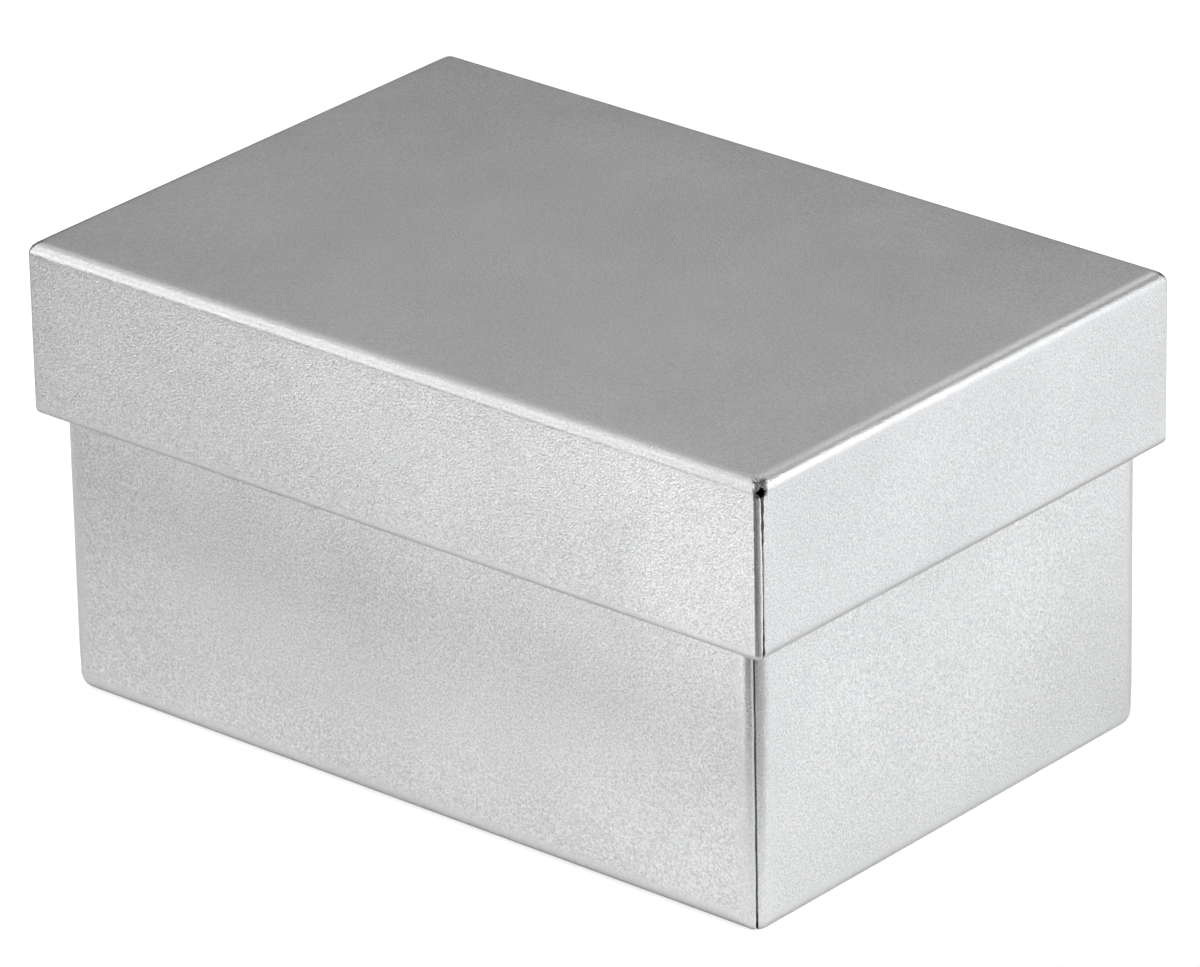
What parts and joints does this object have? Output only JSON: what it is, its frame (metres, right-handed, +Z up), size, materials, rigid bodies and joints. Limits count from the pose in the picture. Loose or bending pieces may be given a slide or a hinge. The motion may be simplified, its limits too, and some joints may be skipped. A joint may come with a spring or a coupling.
{
  "type": "stamp box",
  "caption": "Small rectangular tinplate box with a deep slip-over lid, folded corner seams and rolled rims.",
  "frame": {"origin": "middle of the underside of the base", "axes": "+X along the long sides, +Y along the short sides, +Z up, the way the lid lifts"},
  "size_m": [0.096, 0.0654, 0.0505],
  "materials": {
    "tinplate": "bare tinplate, matt and finely pebbled on the flats, smoother along the bends"
  },
  "bodies": {
    "base": {"base": "tinplate"},
    "lid": {"lid": "tinplate"}
  },
  "joints": [
    {"name": "lid_lift", "type": "slide", "parent": "base", "child": "lid", "axis": [0, 0, 1], "range_m": [0, 0.03]}
  ]
}
